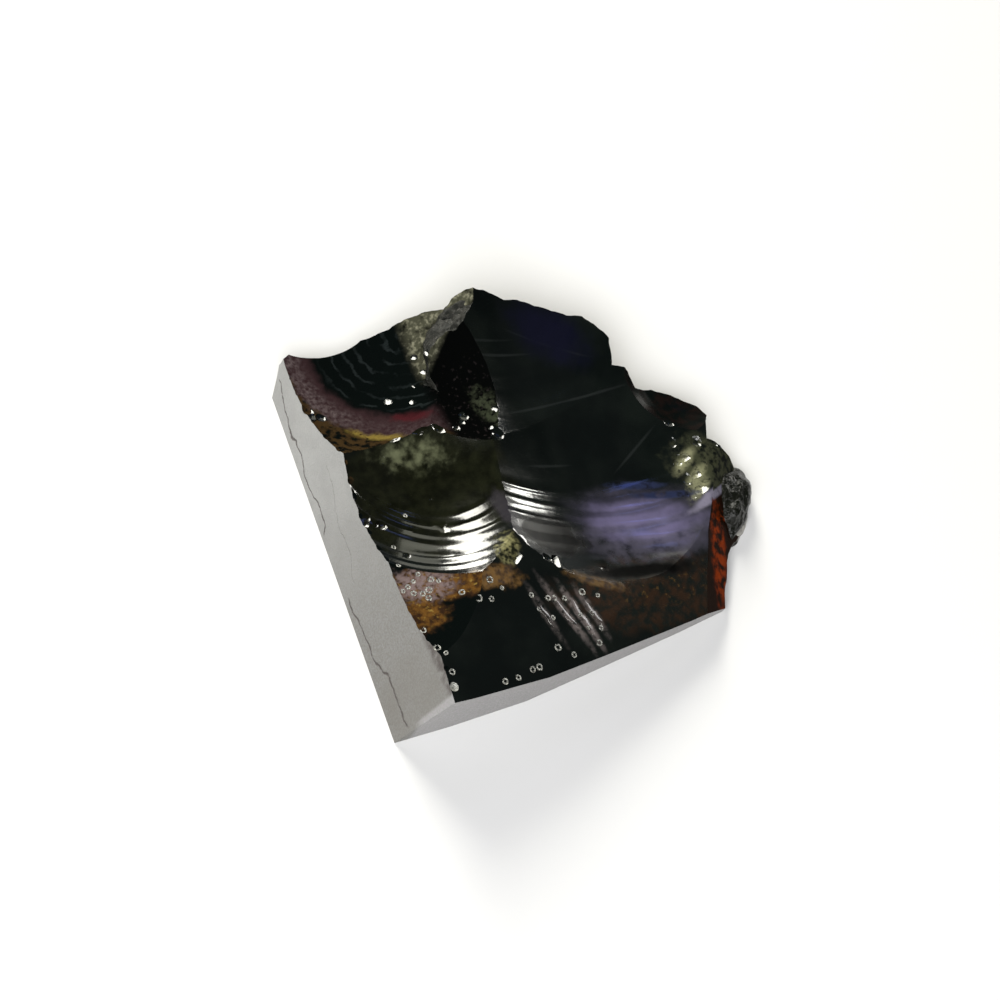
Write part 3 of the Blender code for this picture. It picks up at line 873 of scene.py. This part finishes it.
def tone_of_hollow(place, patch, specks):
    """The rings of the hollow by the crest, the shelf beside it, and the lichen between them."""
    x, y = place.part("X"), place.part("Y")
    out = place.out_from(HOLLOW_HEART, ragged=HOLLOW_RAGS[0], grain=HOLLOW_RAGS[1])
    pale = out.step(*PALE_RING) * place.grain(0.45, 0.30, 0.78) * (0.4 + 0.8 * y.step(30.5, 34.0))
    plum = (patch["wine"] * 0.7).tint(pale.tint(PLUM, PLUM_PALE), WINE)
    rim = place.grain(0.7, 0.36, 0.60).tint(SOOT, OCHRE)
    rim = (patch["straw"] * place.grain(0.5, 0.2, 0.5)).tint(rim, STRAW)
    # Painted highlights: pale arcs on the black heart's ripples, which have no gloss of their own.
    arc_highlights = out.math("SINE", out * ARC_HIGHLIGHT_COUNT).step(0.55, 1.0) * place.grain(2.2, 0.42, 0.62) * x.step(4.0, 6.0)
    tone = out.step(*PLUM_RING).tint(arc_highlights.tint(SOOT, ARC_HIGHLIGHT), plum)
    tone = out.step(*RIM).tint(tone, rim)
    shelf = (specks * y.step(36.5, 33.0)).tint(SHELF_BLACK, SHELF_SPECK)
    tone = x.step(12.6, 14.6).tint(tone, shelf)
    tone = (patch["shelf_edge"] * place.grain(0.5, 0.35, 0.6)).tint(tone, SHELF_EDGE)
    lichen = x.step(13.0, 14.6) * y.step(33.8, 36.0) * place.grain(0.9, 0.22, 0.5)
    lichen = lichen * (x - 0.8 * y).step(-13.2, -14.2)
    lichen = lichen.or_else(patch["crest_tip"] * place.grain(0.6, 0.25, 0.5))
    return lichen.tint(tone, place.grain(0.5, 0.45, 0.72).tint(LICHEN, LICHEN_PALE))


def tone_of_dish(place, patch):
    """The rusty dish by the sawn side, mauve where the bubbles are thickest."""
    rust = patch["dish_rust"].or_else(patch["corner_rust"])
    tone = (rust * place.grain(0.7, 0.36, 0.66)).tint(BROWN, DISH_RUST)
    tone = (rust * place.grain(0.5, 0.56, 0.72)).tint(tone, DISH_GOLD)
    tone = (1 - rust).tint(tone, SOOT)
    return (patch["mauve"] * place.grain(0.4, 0.28, 0.62)).tint(tone, MAUVE)


def tone_of_end(place, patch):
    """The bevelled end: embers below its ridge, olive above it, a painted lavender highlight along the ridge,
    and the umber flake.
    """
    x, y = place.part("X"), place.part("Y")
    ember = patch["ember"] * place.grain(1.1, 0.38, 0.62, 4.0)
    ember = ember.or_else(patch["upper_ember"] * place.grain(0.8, 0.5, 0.7))
    above_ridge = y - RIDGE_SLOPE * x
    olive = place.grain(0.7, 0.35, 0.6).tint(SOOT, END_OLIVE)
    tone = above_ridge.step(-4.3, -3.8).tint(ember.tint(EMBER_DARK, EMBER), olive)
    # Painted highlight: a pale lavender band along the ridge.
    ridge_highlight = above_ridge.step(-4.6, -4.2) * above_ridge.step(-3.5, -3.8) * x.step(37.6, 38.4)
    tone = (ridge_highlight * place.grain(1.2, 0.2, 0.5)).tint(tone, LAVENDER_HIGHLIGHT)
    return y.step(20.5, 21.5).tint(tone, place.grain(0.9, 0.35, 0.7).tint(SOOT, UMBER))


def finish_stained():
    shader, place = open_finish(stained)
    shader.inputs["IOR"].default_value = STAINED_IOR
    shader.inputs["Specular IOR Level"].default_value = 0.0
    shader.inputs["Coat Roughness"].default_value = COAT_ROUGHNESS
    patch = {name: place.oval(*oval) for name, oval in STAINED_PATCHES.items()}
    fine = place.grain(0.30, detail=3.0)
    specks = place.grain(0.45, 0.58, 0.72)
    at_end = place.part("X").step(33.0, 34.0)
    towards_crest = place.part("Y").step(24.0, 26.0)
    colour = towards_crest.tint(tone_of_dish(place, patch), tone_of_hollow(place, patch, specks))
    colour = at_end.tint(colour, tone_of_end(place, patch))
    feed(
        shader,
        Base_Color=colour,
        Roughness=STAINED_ROUGHNESS + 0.25 * fine,
        Coat_Weight=END_COAT * at_end,
        Normal=bump(fine + specks * 0.5 + place.grain(1.0), STAINED_BUMP),
    )


# ---- The finishes: the rough rind ---------------------------------------------------------------
# The crest and the lump keep the stone's weathered outside: grey, dull and pitted, paler where it
# stands out and greenish black in its pits. The old walls are the same rock, broken long ago.
RIND_PALE = (0.078, 0.075, 0.067)
RIND_GREY = (0.017, 0.017, 0.014)
RIND_DARK = (0.0045, 0.0050, 0.0035)
LUMP_FOOT = (0.300, 0.290, 0.265)
WALL_GREY = (0.024, 0.025, 0.023)
WALL_DARK = (0.0050, 0.0055, 0.0050)
# The pale patch at the lump's foot, and how high it is full and ends.
FOOT_PATCH = ((43.8, 13.6), (3.4, 4.2), 0.0, 0.6, 0.3)
FOOT_HEIGHTS = (0.4, 1.3)
RIND_SPECULAR = 0.15
RIND_BUMP = 0.35
WALL_ROUGHNESS, RIND_ROUGHNESS = 0.25, 0.40


def finish_rind(material, dark, grey, pale, roughness):
    shader, place = open_finish(material)
    shader.inputs["Specular IOR Level"].default_value = RIND_SPECULAR
    pits = place.grain(0.9, detail=5.0)
    flecks = place.grain(0.35, 0.56, 0.74)
    lump = place.part("X").step(34.0, 36.0)
    colour = pits.step(0.40, 0.60).tint(dark, grey)
    colour = (flecks * (1 - 0.8 * lump)).tint(colour, pale)
    colour = (lump * (0.75 + 0.25 * pits.step(0.62, 0.42))).tint(colour, dark)
    foot = place.oval(*FOOT_PATCH) * place.part("Z").step(FOOT_HEIGHTS[1], FOOT_HEIGHTS[0])
    colour = (foot * place.grain(0.6, 0.3, 0.55)).tint(colour, LUMP_FOOT)
    feed(
        shader,
        Base_Color=colour,
        Roughness=roughness + 0.35 * pits - 0.42 * lump,
        Normal=bump(pits + 0.25 * flecks, RIND_BUMP),
    )


# ---- The finishes: the sawn sides, and the dust and painted glints of the rings -----------------
# The saw left the sides flat, matt and pale with its dust. Thin cracks run along the long side, and
# the front side is of a more even grey. The rings of the opened bubbles are painted pale: partly dust,
# partly painted glints.
SIDE_GREY = (0.270, 0.270, 0.259)
SIDE_SHADE = (0.218, 0.218, 0.210)
SIDE_LOW = (0.150, 0.149, 0.143)
CORNER_DARK = (0.124, 0.118, 0.105)
FRONT_GREY = (0.235, 0.224, 0.228)
CRACK_BROWN = (0.040, 0.030, 0.027)
# Pale dust and painted glints of the bubble rings.
DUST_AND_GLINT = (0.42, 0.42, 0.38)
# Each crack: its heights at its two ends, where it runs along Y, its width, its wander and its
# strength.
CRACKS = [
    ((0.8, 1.5), (22.5, 39.5), 0.12, 3.2, 1.0),
    ((2.6, 0.7), (0.5, 15.0), 0.15, 3.0, 1.0),
    ((2.6, 4.2), (16.0, 28.0), 0.05, 2.4, 0.5),
]
CORNER_PATCH = ((0.4, 2.6), (3.5, 3.6), 0.0, 1.2, 0.5, 1.2)
SAWN_ROUGHNESS = 0.55
SAWN_BUMP = 0.03
DUST_AND_GLINT_ROUGHNESS = 0.35


def crack(place, heights, ends, width, wander):
    """A thin wandering line along the long side, from one end to the other at about these heights."""
    y, z = place.part("Y"), place.part("Z")
    slope = (heights[1] - heights[0]) / (ends[1] - ends[0])
    line = (y - ends[0]) * slope + heights[0] + (place.grain(4.0, detail=5.0) - 0.5) * wander
    away = line.math("ABSOLUTE", z - line)
    reach = y.step(ends[0] - 0.3, ends[0] + 0.2) * y.step(ends[1] + 0.3, ends[1])
    return away.step(width, width * 0.3) * reach * place.grain(0.8, 0.25, 0.45)


def finish_sawn():
    shader, place = open_finish(sawn)
    x, y = place.part("X"), place.part("Y")
    cloud = place.grain(2.6, 0.3, 0.7, 4.0)
    fine = place.grain(0.22, 0.3, 0.7)
    colour = (cloud * 0.5 + fine * 0.5).tint(SIDE_SHADE, SIDE_GREY)
    # The long side grows darker towards the sawn corner, and darker still in a patch at the corner.
    colour = (y.step(32.0, 8.0) * 0.9).tint(colour, fine.tint(SIDE_LOW, CORNER_DARK))
    colour = (place.oval(*CORNER_PATCH) * (0.35 + 0.45 * cloud)).tint(colour, CORNER_DARK)
    edge = (place.part("Z") + 0.1 * y).step(9.3, 10.2) * y.step(16.0, 11.0) * place.grain(0.9, 0.3, 0.6)
    colour = (edge * 0.8).tint(colour, CRACK_BROWN)
    front_side = x.step(0.7, 1.4) * y.step(0.4, 0.0)
    front_side = front_side.or_else(x.step(4.2, 4.6))
    colour = front_side.tint(colour, fine.tint(FRONT_GREY, SIDE_SHADE))
    cracks = 0
    for *line, strength in CRACKS:
        cracks = (crack(place, *line) * strength).or_else(cracks)
    cracks = cracks * (1 - front_side)
    colour = (cracks * 0.9).tint(colour, CRACK_BROWN)
    feed(
        shader,
        Base_Color=colour,
        Roughness=SAWN_ROUGHNESS + 0.2 * fine,
        Normal=bump(fine + cloud - 2.0 * cracks, SAWN_BUMP),
    )


def finish_dust_and_glint():
    shader, place = open_finish(dust_and_glint)
    speckle = place.grain(0.12, 0.35, 0.65)
    feed(shader, Base_Color=speckle.tint(RIND_GREY, DUST_AND_GLINT), Roughness=DUST_AND_GLINT_ROUGHNESS + 0.3 * speckle)


finish_glass()
finish_stained()
finish_rind(old_wall, WALL_DARK, WALL_GREY, RIND_GREY, WALL_ROUGHNESS)
finish_rind(rind, RIND_DARK, RIND_GREY, RIND_PALE, RIND_ROUGHNESS)
finish_sawn()
finish_dust_and_glint()

# ---- Table and light ----------------------------------------------------------------------------
# The stone lies on a plain pale table in a dim room. A tall window at the far left and a small
# opening at the far right light the ripples, and the rest is soft light from the walls and the sky.
TABLE_PALE = (0.62, 0.62, 0.62)
TABLE_ROUGHNESS = 0.9
TABLE_WIDTH = 4.0
ROOM_DIM = (0.02, 0.02, 0.02)
WHITE = (1.0, 1.0, 1.0)
bpy.ops.object.select_all(action="DESELECT")
bpy.ops.mesh.primitive_plane_add(size=TABLE_WIDTH, location=(0, 0, 0))
floor = bpy.context.object
floor.name = "floor"
pale = bpy.data.materials.new("pale_table")
pale.use_nodes = True
paint = pale.node_tree.nodes["Principled BSDF"]
paint.inputs["Base Color"].default_value = (*TABLE_PALE, 1.0)
paint.inputs["Roughness"].default_value = TABLE_ROUGHNESS
floor.data.materials.append(pale)
floor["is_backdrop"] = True


def softbox(name, round_from_view, height, distance, width, depth, brightness, colour=WHITE, lean=0.0):
    """A soft light turned this far round the table from the view's far side, leftwards, and this high."""
    light = bpy.data.lights.new(name, "AREA")
    light.shape = "RECTANGLE"
    light.size = width
    light.size_y = depth
    light.energy = brightness * math.pi * width * depth
    light.color = colour
    lamp = bpy.data.objects.new(name, light)
    bpy.context.scene.collection.objects.link(lamp)
    towards = VIEW_TURN + math.pi + math.radians(round_from_view)
    out = Matrix.Rotation(towards, 4, "Z") @ Matrix.Rotation(math.radians(90 - height), 4, "X")
    leaning = Matrix.Rotation(math.radians(lean), 4, "Z")
    lamp.matrix_world = out @ Matrix.Translation((0, 0, distance)) @ leaning


softbox("window", 46.5, 25.0, 0.6, 0.16, 0.50, 26.0, (1.0, 0.98, 0.89), lean=-33.0)
softbox("door", -20.5, 9.0, 0.8, 0.10, 0.15, 30.0, (1.0, 0.99, 0.92))
softbox("blue_sky", 6.0, 43.0, 0.8, 0.20, 0.08, 1.7, (0.25, 0.36, 1.0))
softbox("far_wall", 20.0, 20.0, 0.8, 0.24, 0.28, 1.8, (1.0, 1.0, 0.84))
softbox("far_low_wall", -4.0, 8.0, 0.9, 0.86, 0.16, 0.18, (0.90, 0.93, 1.0))
softbox("ceiling", -40.0, 52.0, 0.8, 0.70, 0.50, 0.03)
softbox("behind_view", 180.0, 45.0, 0.5, 0.38, 0.28, 10.0)
softbox("near_left", 137.0, 18.0, 0.7, 0.4, 0.3, 3.5)
softbox("near_right", -132.0, 18.0, 0.7, 0.4, 0.3, 4.5)
bpy.context.scene.view_settings.view_transform = "Standard"
room = bpy.data.worlds.new("dim_room")
room.use_nodes = True
room.node_tree.nodes["Background"].inputs["Color"].default_value = (*ROOM_DIM, 1.0)
bpy.context.scene.world = room

size = [[list(corner) for corner in box] for box in (cad_box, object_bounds())]
